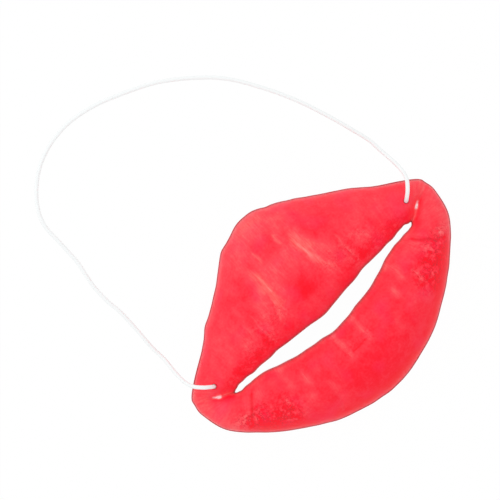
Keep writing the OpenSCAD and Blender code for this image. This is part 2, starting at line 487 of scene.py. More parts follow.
    def material(self) -> Material:
        """Builds the node material.

        Returns:
            The material.
        """
        material, g = new_material(self.name)
        streaks, strands = self._threads(g, self.streaks), self._threads(g, self.strands)
        matt = g.noise(*self.roughness_grain) * self.roughness_spread
        matt = matt + (self.roughness - self.roughness_spread / 2)
        fine = g.attribute("crazed") * self.crazed_share + self.fine_share
        ripple = streaks * g.attribute("streaked") + g.noise(*self.fine_ripple) * fine
        ripple = ripple + g.noise(*self.broad_ripple) * self.broad_share
        g.surface(
            self._colour(g, streaks, strands), matt,
            (ripple, self.ripple_strength, self.ripple_height),
            IOR=self.ior,
            Coat_Weight=self.coat,
            Coat_Roughness=self.coat_roughness,
            Subsurface_Weight=self.subsurface,
            Subsurface_Radius=self.subsurface_colour,
            Subsurface_Scale=self.subsurface_reach,
        )
        return material


@dataclass(frozen=True)
class BraidedElastic:
    """White textile braid; the mesh carries "crown", 0 between the strands and 1 on them."""

    name: str = "white_braided_elastic"
    # Painted shade: the valley colour lies between the strands, darker than the crown on them;
    # both lean a little cyan, painted against the red light that the shell throws on the cord.
    valley: Colour = (0.83, 0.852, 0.854)
    crown: Colour = (0.9, 0.918, 0.92)
    stops_at: Pair = (0.1, 0.8)
    soil: float = 0.15
    soil_grain: Pair = (240.0, 3.0)
    thread: float = 0.2
    thread_grain: Pair = (9000.0, 2.0)
    roughness: float = 0.75
    roughness_spread: float = 0.14
    sheen: float = 0.05
    sheen_roughness: float = 0.4
    fibre_strength: float = 0.7
    fibre_height: float = 0.02 * MM

    def material(self) -> Material:
        """Builds the node material.

        Returns:
            The material.
        """
        material, g = new_material(self.name)
        soil, thread = g.noise(*self.soil_grain) - 0.5, g.noise(*self.thread_grain)
        lit = g.attribute("crown") + soil * self.soil + (thread - 0.5) * self.thread
        stops = tuple(zip(self.stops_at, (self.valley, self.crown)))
        g.surface(
            g.add("ShaderNodeValToRGB", {"stops": stops}, {"Fac": lit}, "Color"),
            thread * self.roughness_spread + (self.roughness - self.roughness_spread / 2),
            (thread, self.fibre_strength, self.fibre_height),
            Sheen_Weight=self.sheen,
            Sheen_Roughness=self.sheen_roughness,
        )
        return material


@dataclass(frozen=True)
class RubberThread:
    """Dull cream rubber of the elastic's core, a little yellowed."""

    name: str = "cream_rubber_thread"
    fresh: Colour = (0.78, 0.71, 0.56)
    aged: Colour = (0.66, 0.55, 0.36)
    cloud_grain: Pair = (1600.0, 2.0)
    speck_grain: Pair = (9000.0, 2.0)
    roughness: float = 0.55
    roughness_spread: float = 0.2
    speck_strength: float = 0.5
    speck_height: float = 0.01 * MM

    def material(self) -> Material:
        """Builds the node material.

        Returns:
            The material.
        """
        material, g = new_material(self.name)
        speck = g.noise(*self.speck_grain)
        g.surface(
            g.mix(g.noise(*self.cloud_grain), self.fresh, self.aged),
            speck * self.roughness_spread + (self.roughness - self.roughness_spread / 2),
            (speck, self.speck_strength, self.speck_height),
        )
        return material


@dataclass(frozen=True)
class PaleFloor:
    """White floor; the camera sees it nearly as bright as it can be, with a faint shadow."""

    name: str = "pale_floor"
    colour: Colour = (0.94, 0.94, 0.94)
    glow: float = 0.984
    glow_spread: float = 0.002
    grain: Pair = (60.0, 2.0)

    def material(self) -> Material:
        """Builds the node material.

        Returns:
            The material.
        """
        material, g = new_material(self.name)
        matt = g.add("ShaderNodeBsdfDiffuse", None, {"Color": self.colour})
        shine = g.add("ShaderNodeEmission", None, {"Color": (1.0, 1.0, 1.0), "Strength": 1.0})
        seen = g.add("ShaderNodeLightPath", output="Is Camera Ray")
        share = seen * (g.noise(*self.grain) * self.glow_spread + self.glow)
        both = g.add("ShaderNodeMixShader", None, {0: share, 1: matt, 2: shine})
        g.add("ShaderNodeOutputMaterial", None, {"Surface": both})
        return material


# ---------------------------------------------------------------- meshes


def mesh_of(name: str, shape: BMesh) -> Mesh:
    """Turns a working mesh into a plain one.

    Args:
        name: The plain mesh's name.
        shape: The working mesh, which is freed.

    Returns:
        The plain mesh.
    """
    mesh = bpy.data.meshes.new(name)
    shape.to_mesh(mesh)
    shape.free()
    return mesh


def join_rings(shape: BMesh, first: Sequence[BMVert], second: Sequence[BMVert]) -> None:
    """Closes the strip between two rings with faces.

    Args:
        shape: The working mesh.
        first: The vertices of one ring, in order.
        second: As many vertices of the other.
    """
    for k in range(len(first)):
        n = (k + 1) % len(first)
        shape.faces.new((first[k], first[n], second[n], second[k]))


def mesh_object(name: str, mesh: Mesh, material: Material) -> Object:
    """Shows a mesh as an object at the origin.

    Args:
        name: Name of the object and of its mesh.
        mesh: The finished mesh.
        material: The only material on it.

    Returns:
        The new object.
    """
    mesh.name = name
    mesh.materials.clear()
    mesh.materials.append(material)
    mesh.shade_smooth()
    shown = bpy.data.objects.new(name, mesh)
    bpy.context.scene.collection.objects.link(shown)
    return shown


def declare(shown: Object, slot: str, *nodes: str) -> None:
    """Puts a piece on the body and hides the nodes that it stands for.

    Args:
        shown: The piece.
        slot: Material slot of the record; not used.
        nodes: CAD nodes that it replaces.
    """
    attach(shown, BODY)
    if nodes:
        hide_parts(*nodes)
    LOG.info("%s: %d faces, for %s", shown.name, len(shown.data.polygons), nodes or "no node")


class Lip(Enum):
    """Which lip a station belongs to."""

    UPPER = 1
    LOWER = -1


class Side(Enum):
    """Side of the wearer's mouth, by the sign of X."""

    LEFT = -1
    RIGHT = 1


UPPER, LOWER = Lip
LEFT, RIGHT = Side


@dataclass(frozen=True)
class Stroke:
    """A line or spot on the lips whose effect fades out past its half width."""

    points: tuple[Place, ...]
    amount: float
    half_width: float
    only: Optional[Side] = None

    def at(self, x: Array, y: Array) -> Array:
        """Gives its effect at places of the right half."""
        return self.amount * bell(to_stroke(x, y, self.points), self.half_width)


class Fold(Stroke):
    """A groove in the moulding with its depth, or a ridge where that is negative."""


class Tint(Stroke):
    """A paler or deeper stroke of colour, mostly painted highlight and painted shade, or a patch
    of crazed skin.
    """


@dataclass(frozen=True)
class Band:
    """A strip of another tone along the slot or the rim.

    Amounts are for the upper and the lower lip. The fade and each end are the distances, from
    the edge and from the mask's middle, at which the strip begins and is at its full strength.
    """

    amounts: Pair
    fade: Pair
    ends: tuple[Pair, ...] = ()


@dataclass(frozen=True)
class Trim:
    """A place where the knife strayed at the slot's edge or the rim, upwards where positive."""

    lip: Lip
    x: float
    half_width: float
    up: float
    only: Optional[Side] = None


@dataclass
class LipsShell:
    """The moulded shell: sizes of its outline, slot and section, its folds and its holes.

    Places on it are in millimetres from the mouth line, on the right half, and are mirrored.
    A pair named for the lips holds the upper lip's value and then the lower lip's. Other pairs
    are where something begins and where it is at its full strength. A shade is how much painted
    shade darkens an edge, for the slot with its distance from the edge and its half width. A wave
    of the wrinkles is its lengths along and across the lip, its seed and its size.
    """

    width: float = 139.0
    upper_height: float = 55.5
    lower_height: float = 42.5
    lip_crests: Pair = (24.0, 26.0)
    lip_crests_at: Pair = (0.36, 0.42)
    corner_crest: float = 11.0
    wall: float = 1.5
    slot_width: float = 104.6
    slot_gap: float = 8.4
    slot_tip_gap: float = 2.8
    slot_tips_up: float = 3.9
    smile: float = 6.6
    slot_edge: float = 17.0
    slot_tip_edge: float = 8.5
    slope_power: float = 0.77
    crest_power: float = 0.9
    smile_power: float = 1.6
    narrow_at: float = 0.585
    narrow_power: float = 6.0
    end_power: float = 20.0
    hole: Place = (57.0, 12.0)
    hole_radius: float = 1.1
    hole_margin: float = 0.25
    hole_patch: float = 4.5
    edge_round: float = 0.3
    hand_cut: float = 0.16
    cut_waves: tuple[Point, ...] = ((9, 0.4, 1.0), (17, 2.1, 0.7), (31, 4.0, 0.5))
    rim_cut: float = 0.1
    rim_cut_fade: Pair = (0.1, 0.35)
    rim_inset: float = 0.05
    trim_lip: float = 0.42
    trim_lip_up: Pair = (0.45, 0.8)
    trim_lip_angle: Pair = (60, 84)
    half_length: float = 75.0
    outline_steps: int = 24
    quarter: int = 160
    front_rings: int = 84
    rim_rings: tuple[float, ...] = (87.9, 88.8, 89.4, 89.7, 89.85, 89.94)
    back_rings: int = 32
    back_from: float = 88.0
    hole_sides: int = 48

    upper_outline: tuple[Place, ...] = (
        (1, 0.11), (0.992, 0.215), (0.974, 0.27), (0.892, 0.35), (0.72, 0.49), (0.575, 0.63),
        (0.375, 0.79), (0.245, 0.9), (0.13, 0.965), (0, 1), (-0.13, 0.965),
    )
    lower_outline: tuple[Place, ...] = (
        (0.974, 0.27), (0.992, 0.215), (1, 0.11), (0.95, -0.14), (0.787, -0.42),
        (0.575, -0.68), (0.317, -0.9), (0, -1), (-0.317, -0.9),
    )
    folds: tuple[Fold, ...] = (
        Fold(((11, 37), (11, 18)), 0.9, 1.8), Fold(((11, 18), (16, 9)), 0.5, 1.6),
        Fold(((5.5, 44), (5.5, 35)), 0.5, 1.6), Fold(((25, 22), (25, 7)), 0.6, 1.7),
        Fold(((22, 44), (26, 29)), 0.35, 3.5), Fold(((36, 30), (41, 14)), 0.6, 2.6),
        Fold(((5.5, -9), (5.5, -19)), 0.8, 1.8), Fold(((19, -19), (23, -33)), 0.8, 2.0),
        Fold(((33, -2), (33, -11)), 0.6, 1.8), Fold(((38.6, -11), (40, -19)), 0.6, 1.8),
        Fold(((26, -9), (27, -17)), 0.6, 1.8), Fold(((48, -1), (57, -10)), 0.8, 1.6),
        Fold(((53.5, 4.2), (64, 9.8)), 0.7, 2.2), Fold(((57.6, 6.8), (60.0, 8.1)), 0.6, 1.5),
        Fold(((0, 15),), -1.2, 6.0),
    )
    fine_folds: tuple[Fold, ...] = (
        Fold(((9.7, 33.5), (10.4, 30), (11.3, 26.5), (11.4, 22), (11.8, 18.5)), 0.28, 0.6),
        Fold(((12.8, 35.5), (13.4, 31.5), (14.6, 28)), 0.14, 1.0),
        Fold(((12.6, 20.5), (14, 18.5), (15.6, 15), (16.1, 9.5)), 0.12, 0.8),
        Fold(((5.8, 42), (5.6, 36)), 0.16, 0.7), Fold(((25, 23), (25, 12), (24.7, 7.5)), 0.2, 0.6),
        Fold(((30, 18), (36.5, 12.5)), 0.12, 1.2), Fold(((5.4, -8.5), (5.4, -18.5)), 0.2, 0.8),
        Fold(((-4, -18), (4, -18)), 0.14, 0.6),
        Fold(((31.8, -2.5), (33.4, -5), (33, -10)), 0.18, 0.7),
        Fold(((26.5, -10), (26.3, -15)), 0.14, 0.8), Fold(((38.6, -11), (39.4, -18)), 0.16, 0.7),
        Fold(((19.4, -22.5), (19.6, -27), (22, -31), (23.5, -34)), 0.2, 0.8),
        Fold(((47.8, -1.7), (51.5, -5.8), (55.6, -10)), 0.35, 0.55),
        Fold(((53, 4.1), (56.9, 6.1)), -0.35, 0.7),
    )
    # Pale strokes are painted highlights on the creases, where the vinyl is also thinned; deep
    # strokes are painted shade in the creases and hollows and on faces turned from the light; the
    # faint broad spots are the vinyl's own mottling.
    tints: tuple[Tint, ...] = (
        Tint(((10.4, 34), (10.9, 31)), 0.13, 0.6, RIGHT),
        Tint(((11.1, 31.2), (11.3, 28), (11.7, 23)), 0.42, 0.45, RIGHT),
        Tint(((10.7, 32), (10.9, 28), (11.1, 24.5)), 0.36, 0.5, LEFT),
        Tint(((10.4, 33), (11.4, 27), (12, 20)), 0.14, 2.1),
        Tint(((12.6, 35.5), (13.2, 31.5), (14.6, 27.5)), 0.19, 2.3),
        Tint(((14, 27), (17.5, 25)), 0.1, 2.6), Tint(((14.5, 34), (14, 25)), -0.07, 3.0, LEFT),
        Tint(((12, 22), (14, 18.5), (15.4, 14.5)), 0.11, 2.0),
        Tint(((13.0, 20), (15.2, 17.2)), 0.09, 0.4, LEFT),
        Tint(((13.6, 17), (15.6, 14)), 0.09, 0.35), Tint(((16.1, 15.5), (16.1, 9)), 0.13, 0.45),
        Tint(((12.5, 17), (13.5, 12)), 0.1, 1.8), Tint(((14.5, 9.5), (18, 9.5)), -0.14, 2.0),
        Tint(((10.2, 24), (10.8, 18)), 0.12, 2.4, LEFT),
        Tint(((5.9, 41), (5.7, 36.5)), 0.22, 0.8), Tint(((-7, 30), (7, 30)), 0.13, 5.0),
        Tint(((6.8, 21.4),), 0.12, 1.8), Tint(((0, 18), (0, 16)), -0.25, 4.8),
        Tint(((0, 13.5), (8, 12.5)), -0.1, 4.2), Tint(((3, 42), (1, 39.5)), -0.14, 3.2),
        Tint(((-3, 35.5), (3, 35.5)), -0.08, 2.2), Tint(((0, 47), (14, 45)), 0.12, 6.0),
        Tint(((-5, 52), (5, 52)), 0.17, 4.0), Tint(((18.5, 43), (18.5, 27)), -0.13, 2.4),
        Tint(((22, 30), (25, 23)), -0.11, 3.4), Tint(((27, 34.5), (33, 28)), -0.07, 3.6),
        Tint(((25, 23), (25, 12), (24.7, 7.5)), 0.22, 0.5),
        Tint(((27.6, 20), (27.6, 8)), -0.1, 1.5), Tint(((22, 6), (34, 6)), 0.15, 1.5, RIGHT),
        Tint(((28, 18.2), (35, 13.5)), 0.14, 2.2), Tint(((38, 12), (44, 10)), -0.12, 3.0),
        Tint(((17, 23), (20, 19)), 0.09, 2.4), Tint(((52, 7.4), (55, 8.6)), -0.07, 1.5),
        Tint(((28, 10.3), (33, 9.8)), -0.1, 2.6), Tint(((5.5, -8), (5.5, -18.5)), 0.25, 1.6),
        Tint(((7.3, -9), (7.3, -17)), -0.1, 0.5), Tint(((0, -12), (0, -16)), -0.1, 3.0),
        Tint(((-3.6, -18), (0, -18.3), (3.6, -18)), -0.24, 0.4), Tint(((0, -18),), 0.12, 5.0),
        Tint(((31.6, -2.5), (33.4, -5), (33, -10)), 0.22, 1.9),
        Tint(((26.5, -10.5), (26.3, -14.5)), 0.27, 1.5),
        Tint(((20, -21.5), (20.2, -24.5)), 0.17, 1.7, LEFT),
        Tint(((19, -21.5), (19.2, -25)), 0.15, 1.5, RIGHT),
        Tint(((20.4, -27), (22, -31), (23.2, -34)), 0.09, 1.7), Tint(((30, -20.5),), 0.18, 2.6),
        Tint(((33, -17),), 0.08, 2.0), Tint(((36, -23),), 0.16, 3.2),
        Tint(((25, -26),), -0.07, 4.0), Tint(((38.4, -11.5), (39, -16.5)), 0.24, 1.2),
        Tint(((39, -4), (48, -5)), 0.1, 3.6),
        Tint(((47.8, -1.7), (51.5, -5.8), (55.6, -10)), -0.3, 0.7),
        Tint(((0, -27), (0, -37)), -0.1, 8.0), Tint(((12, -28), (12, -33)), -0.07, 6.0),
        Tint(((41, -20), (48, -15), (55, -9)), -0.17, 4.6),
        Tint(((48, -20), (57, -11)), -0.14, 3.0), Tint(((61, 4), (63, -3)), 0.18, 6.0),
        Tint(((66, 8), (67, 0)), 0.08, 3.0), Tint(((65.5, 15), (67, 9)), 0.16, 3.6),
        Tint(((47, -2.5), (57, -8)), 0.13, 3.8), Tint(((55, -9.5), (62, -8)), 0.13, 3.4),
        Tint(((39, -6), (46, -8)), -0.1, 3.2, LEFT),
        Tint(((22, -22), (22.5, -31)), -0.08, 2.2, RIGHT),
        Tint(((57, -6.5), (59.5, -7)), 0.14, 1.8), Tint(((54, 6.2),), 0.15, 1.6),
        Tint(((50, -10.5), (54, -11)), 0.12, 2.6, LEFT),
        Tint(((62, -10.5),), 0.1, 2.6, RIGHT), Tint(((6, -12),), 0.1, 3.0, LEFT),
        Tint(((10, 34),), -0.1, 2.2, LEFT), Tint(((30, 16),), -0.11, 3.0, LEFT),
        Tint(((18, 14),), -0.1, 2.4, LEFT), Tint(((34, -26),), -0.11, 2.6, LEFT),
        Tint(((40, -26),), -0.1, 3.0, RIGHT), Tint(((44, -18),), 0.09, 2.6),
        # Near-white painted highlights in the pits at the mouth's corners, a paler painted
        # highlight on the ridge to the slot's tip, and painted shade beside that ridge.
        Tint(((58.1, 6.8), (59.0, 7.4)), 1.7, 0.6, RIGHT),
        Tint(((58.0, 7.1), (59.0, 7.7)), 1.7, 0.6, LEFT),
        Tint(((58.6, 7.3), (60.3, 8.6)), 1.2, 0.38), Tint(((58.2, 7.1),), 0.7, 0.65),
        Tint(((53.2, 4.2), (56.8, 6.1)), 0.4, 0.6),
        Tint(((53.8, 3), (58.4, 5.6), (60.8, 7.6)), -0.14, 0.7),
    )
    crazed: tuple[Tint, ...] = (
        Tint(((40, -19), (50, -11)), 1.0, 5.5), Tint(((44, -20), (56, -11)), 0.8, 4.5),
        Tint(((24, 8.5), (50, 8.2)), 0.6, 3.0), Tint(((15, 16), (25, 15)), 0.6, 4.5),
        Tint(((57, -6.5), (59.5, -7)), 0.9, 2.5), Tint(((50, -8.5), (56.5, -10)), 0.8, 2.6),
        Tint(((0, -17), (6, -17)), 0.4, 3.0), Tint(((38.4, -11.5), (39, -16.5)), 0.6, 2.0),
        Tint(((31, 18), (36, 13)), 0.4, 3.0),
    )
    # A crease line on the lower lip that is darkened with painted shade.
    shaded_crease_line: tuple[Place, ...] = ((48.6, -2.2), (51.5, -5.8), (54.4, -9.2))
    crease_line_shade: Pair = (0.2, 0.6)
    # Painted light: the upper lip paler and the lower lip darker, as lit from above the upper lip.
    lip_tones: Pair = (0.07, -0.04)
    # Painted shade where the upper lip rolls in to the slot, and painted highlights as pale strips
    # on the slot's rounded edges.
    slot_bands: tuple[Band, ...] = (
        Band((-0.102, 0.0), (7.5, 3.5), ((58, 53),)),
        Band((-0.068, 0.0), (7.5, 3.5), ((8, 15), (58, 53))),
        Band((0.1, 0.0), (2.4, 1.0)),
        Band((0.0, 0.2), (3.4, 1.0)),
        Band((0.4, 0.4), (1.0, 0.2)),
    )
    # Painted shade on the outer slope towards the rim, strongest on the lower lip, and a pale
    # painted reflection on the steep wall just inside the rim.
    rim_bands: tuple[Band, ...] = (
        Band((-0.08, -0.22), (6.5, 2.0), ((62, 52),)),
        Band((0.07, 0.2), (1.7, 0.4)),
    )
    # Painted shade along the slot's edge, as a contact shadow at the foot, along the rim and on a
    # crease line.
    painted_shade: float = 0.85
    slot_shade: Point = (0.42, 0.5, 0.36)
    foot_shade: float = 0.72
    foot_shade_up: Pair = (1.3, 0.7)
    lip_rim_shades: Pair = (0.5, 0.32)
    rim_shade_half_width: float = 0.5
    fold_fade: Pair = (0.0, 3.0)
    fold_rim_fade: float = 6.0
    corner_fade: Pair = (0.06, 0.3)
    streak_rim_fade: Pair = (4.0, 15.0)
    streak_rim_share: float = 0.35
    wrinkles_at: Pair = (80, 180)
    wrinkle_waves: tuple[tuple[float, float, int, float], ...] = (
        (9, 7, 3, 0.8), (2.6, 15, 1, 0.65), (1.3, 9, 2, 0.35),
    )
    wrinkle_height: float = 0.12
    wrinkle_sunk: float = 0.7
    # Painted light and shade on the wrinkles: paler on their crests, darker in their valleys.
    wrinkle_tone: float = 0.04
    mark_stray: float = 0.5
    mark_lumps: tuple[tuple[float, float, int], ...] = ((3.1, 4.3, 4), (3.7, 3.3, 5))
    hidden_depth: Pair = (0.0, 0.3)
    hidden_tone: Pair = (0.6, 0.05)
    tone_limits: Pair = (-0.3, 1.7)
    # How the pale painted highlights on the upper lip's creases, over vinyl thinned by stretching,
    # turn the colour.
    stretched_from: float = 0.15
    stretched_gain: float = 1.3
    stretched_most: float = 0.45
    stretched_fade: Pair = (24, 18)

    slot_trims: tuple[Trim, ...] = (
        Trim(UPPER, 38, 6.5, -0.6, RIGHT), Trim(UPPER, 32, 6.0, -0.5, LEFT),
        Trim(UPPER, 30, 5.0, -0.5, RIGHT), Trim(UPPER, 30, 2.5, -0.35, LEFT),
        Trim(UPPER, 41, 3.0, -0.4), Trim(UPPER, 51.6, 1.8, -0.9),
        Trim(UPPER, 20, 4.0, -0.35), Trim(UPPER, 0, 4.0, -0.3),
        Trim(LOWER, 0, 60.0, 0.4), Trim(LOWER, 0, 3.5, 0.35),
        Trim(LOWER, 38, 5.0, 0.55, LEFT), Trim(LOWER, 39, 3.0, 0.35, LEFT),
        Trim(LOWER, 10, 3.5, 0.6), Trim(LOWER, 33, 6.0, 0.4, RIGHT),
        Trim(LOWER, 22, 4.0, -0.3, RIGHT), Trim(LOWER, 49, 4.0, -0.35, RIGHT),
    )
    rim_trims: tuple[Trim, ...] = (
        Trim(UPPER, 36, 11.0, -1.1, LEFT), Trim(UPPER, 42.5, 3.2, 0.75, LEFT),
        Trim(UPPER, 26, 5.0, -0.4, LEFT), Trim(UPPER, 15.5, 2.5, 0.4, LEFT),
        Trim(UPPER, 8, 4.0, -0.4, LEFT), Trim(UPPER, 40, 9.0, 0.3, RIGHT),
        Trim(UPPER, 46, 4.0, 0.4, RIGHT), Trim(UPPER, 25, 5.0, 0.5, RIGHT),
        Trim(UPPER, 12, 1.6, -0.4, RIGHT), Trim(UPPER, 6.5, 3.0, 0.4, RIGHT),
        Trim(LOWER, 49, 13.0, -0.45), Trim(LOWER, 30, 8.0, -0.3),
    )

    def __post_init__(self) -> None:
        """Lays out the stations round the shell and the outline that they reach."""
        self.middle_up = (self.upper_height - self.lower_height) / 2
        ramp = np.arange(self.quarter) / self.quarter
        self.share = np.concatenate([ramp, 1 - ramp, ramp, 1 - ramp])
        self.stations = len(self.share)
        self.lip = np.repeat([1.0, 1.0, -1.0, -1.0], self.quarter)
        self.hand = np.repeat([1.0, -1.0, -1.0, 1.0], self.quarter)
        self.along = self.hand * (1 - self.share) * self.half_length
        self.rim = self._rim()
        self.slot = self._slot()
        self.breadth = np.linalg.norm(self.rim - self.slot, axis=1)

    def _by_lip(self, pair: Pair) -> Array:
        """Gives each station its lip's value of a pair."""
        return np.where(self.lip > 0, *pair)

    def _rim(self) -> Array:
        """Places the outline on the right half, as a hand cut it.

        Returns:
            The outline's point of each station.
        """
        rim = np.empty((self.stations, 2))
        for lip, shares in ((UPPER, self.upper_outline), (LOWER, self.lower_outline)):
            line = smooth_through([
                (x * self.width / 2, y * (self.upper_height if y > 0 else self.lower_height))
                for x, y in shares
            ], self.outline_steps)
            runs = run_lengths(line)
            mine = self.lip == lip.value
            for axis in range(2):
                rim[mine, axis] = np.interp(self.share[mine], runs / runs[-1], line[:, axis])
        rim[:, 1] += self._strayed(rim[:, 0], self.rim_trims)
        wander = lattice_noise(self.along / 3.4 + 30, self.lip * 2.5 + 7.5, 6) + 1
        rim[:, 1] -= self.lip * self.rim_cut * wander * ease(self.share, *self.rim_cut_fade)
        rim[:, 0] *= 1 - self.rim_inset / self.width
        return rim

    def _strayed(self, x: Array, trims: Sequence[Trim]) -> Array:
        """Adds up how far the knife strayed.

        Args:
            x: Where each station lies across, on the right half.
            trims: The places where it did.

        Returns:
            How far the cut rises at each station.
        """
        return sum(
            t.up * bell(x - t.x, t.half_width) * (self.lip == t.lip.value)
            * (1.0 if t.only is None else self.hand == t.only.value)
            for t in trims
        )

    def _slot(self) -> Array:
        """Places the slot's edge on the right half, as a hand cut it.

        Returns:
            The edge's point of each station.
        """
        u = np.cos(np.pi / 2 * self.share)
        middle = self.smile * (np.sin(np.pi / 2 * u) ** self.smile_power - 1) + self.slot_tips_up
        wide = 1 / (1 + (u / self.narrow_at) ** self.narrow_power)
        end = np.sqrt(np.clip(1 - u**self.end_power, 0, None))
        gap = (self.slot_tip_gap + (self.slot_gap - self.slot_tip_gap) * wide) * end
        turn = np.arange(self.stations) / self.stations * 2 * np.pi
        wander = sum(size * np.sin(count * turn + phase) for count, phase, size in self.cut_waves)
        x = self.slot_width / 2 * u
        cut = (self.hand_cut * wander + self._strayed(x, self.slot_trims)) * end * (self.share > 0)
        return np.column_stack([x, middle + self.lip * gap / 2 + cut])

    def _section(self, angle: Array) -> tuple[Array, Array]:
        """Gives the section of every station at some angles.

        Args:
            angle: Angles in degrees, -90 at the slot, 0 on the crest and 90 at the rim.

        Returns:
            The share of the lip's breadth and the height, a row for each angle.
        """
        a = np.radians(angle)[:, None]
        crest_at, middle = self._by_lip(self.lip_crests_at), self._by_lip(self.lip_crests)
        swell = np.sin(np.pi / 2 * self.share)
        top = self.corner_crest + (middle - self.corner_crest) * swell**self.crest_power
        foot = self.slot_tip_edge + (self.slot_edge - self.slot_tip_edge) * swell
        inner = np.broadcast_to(a < 0, (len(angle), self.stations))
        cosine = np.clip(np.cos(a), 0, None)
        across = np.where(inner, crest_at * (1 + np.sin(a)), crest_at + (1 - crest_at) * np.sin(a))
        up = np.where(inner, foot + (top - foot) * cosine, top * cosine**self.slope_power)
        last = np.abs(angle) >= 90
        up[last] = np.where((angle[last] < 0)[:, None], foot, 0.0)
        return across, up

    def _surface(self, angle: Array, fine: bool = False) -> Array:
        """Gives the front's points at some angles of every station.

        Args:
            angle: Angles of the section in degrees.
            fine: Whether it has the fine folds, the wrinkles and the trimmed lip at its foot.

        Returns:
            Points in the row frame: angle, station, coordinate.
        """
        across, up = self._section(angle)
        place = self.slot + across[..., None] * (self.rim - self.slot)
        x, y = place[..., 0], place[..., 1]
        inside = across * self.breadth
        fade = np.clip((90 - angle) / self.fold_rim_fade, 0, 1)[:, None]
        fade = ease(inside, *self.fold_fade) * fade
        up = up - fade * sum(f.at(x, y) for f in self.folds + (self.fine_folds if fine else ()))
        if fine:
            height = ease(self.share, *self.corner_fade) * self.wrinkle_height
            up = up + fade * height * (self._wrinkles(inside) - self.wrinkle_sunk)
            back = (self.slot - self.rim) / self.breadth[:, None]
            step = self.trim_lip * ease(up, *self.trim_lip_up)
            step = step * ease(angle, *self.trim_lip_angle)[:, None]
            x, y = x + step * back[:, 0], y + step * back[:, 1]
        return np.stack([self.hand * x, y - self.middle_up, up], axis=-1)

    def _wrinkles(self, inside: Array) -> Array:
        """Gives the fine wrinkles that run from the slot to the rim.

        The first wave shifts the others sideways, so that they don't run straight.

        Args:
            inside: Distance of each point from the slot's edge, a row for each angle.

        Returns:
            Their height, from -1 to 1.
        """
        along = np.broadcast_to(self.along + self._by_lip(self.wrinkles_at), inside.shape)
        (far, wide, seed, size), *waves = self.wrinkle_waves
        drifted = along + size * lattice_noise(along / far, inside / wide, seed)
        return sum(
            size * lattice_noise(drifted / far, inside / wide, seed)
            for far, wide, seed, size in waves
        )

    def _normals(self, angle: Array) -> Array:
        """Works out which way the plain front faces.

        Args:
            angle: Angles of the section in degrees.

        Returns:
            The outward direction at those angles of every station.
        """
        step = 0.25
        ahead, behind = (self._surface(np.clip(angle + s, -90, 90)) for s in (step, -step))
        out = ahead - behind
        upright = np.abs(angle) >= 90
        out[upright] = 0
        out[upright, :, 2] = -np.sign(angle[upright])[:, None]
        here = self._surface(angle)
        normal = np.cross(out, np.roll(here, -1, axis=1) - np.roll(here, 1, axis=1))
        return normal / np.linalg.norm(normal, axis=-1, keepdims=True)

    def _rings(self) -> tuple[Array, Array, Array]:
        """Lays all closed rings round the shell's wall, from the slot over the front and back.

        Returns:
            The rings' points, the section angle of each ring, and its depth in the wall,
            0 on the front and 1 on the back.
        """
        even = np.linspace(-90, 90, self.front_rings)[1:-1]
        front_at = np.sort(np.concatenate([even, self.rim_rings]))
        back_at = np.linspace(self.back_from, -self.back_from, self.back_rings)
        back = self._surface(back_at) - self.wall * self._normals(back_at)
        rows = [(ring, a, 0.0) for ring, a in zip(self._surface(front_at, True), front_at)]
        rows += self._cut_edge(90.0)
        rows += [(ring, a, 1.0) for ring, a in zip(back, back_at)]
        rows += self._cut_edge(-90.0)
        points, angles, depths = zip(*rows)
        return np.stack(points), np.array(angles), np.array(depths)

    def _cut_edge(self, angle: float) -> list[tuple[Array, float, float]]:
        """Rounds both corners of a cut edge of the wall, at the rim or at the slot.

        Args:
            angle: The section's angle at that edge, 90 or -90.

        Returns:
            Rings across the edge, in the order in which the wall's rings run.
        """
        at = np.array([angle])
        corner, inward = self._surface(at)[0], -self._normals(at)[0]
        near = [(down, out) for out, down in self._corner_steps()]
        far = [(self.wall - inset, up) for inset, up in reversed(near)]
        rows = [
            (corner + inset * inward + [0, 0, up], angle, inset / self.wall)
            for inset, up in near + far
        ]
        return rows if angle > 0 else rows[::-1]

    def _corner_steps(self) -> list[Pair]:
        """Gives the steps of a rounded corner, as offsets from its two faces."""
        r = self.edge_round
        return [(r - r * math.sin(q), r - r * math.cos(q)) for q in np.radians([0, 30, 60, 90])]

    def _banded(self, bands: Sequence[Band], distance: Array, x: Array) -> Array:
        """Adds up the strips of tone along an edge.

        Args:
            bands: The strips.
            distance: Distance of each point from the edge.
            x: Places across, on the right half.

        Returns:
            The tone at each point.
        """
        return sum(
            self._by_lip(b.amounts) * ease(distance, *b.fade)
            * math.prod(ease(x, *end) for end in b.ends)
            for b in bands
        )

    def _tinted(self, side: Array, x: Array, y: Array) -> tuple[Array, Array]:
        """Adds up the tints at some places.

        Args:
            side: The places' X, for tints on one side only.
            x: Places across, on the right half.
            y: Places up.

        Returns:
            The tone there, and how much of it comes from faint pale tints.
        """
        tone, pale = self._by_lip(self.lip_tones), np.zeros(x.shape)
        for tint in self.tints:
            share = tint.at(x, y)
            if tint.only is not None:
                share = share * (side * tint.only.value > 0)
            tone = tone + share
            pale = pale + np.maximum(share, 0) * (tint.amount < 1)
        return tone, pale

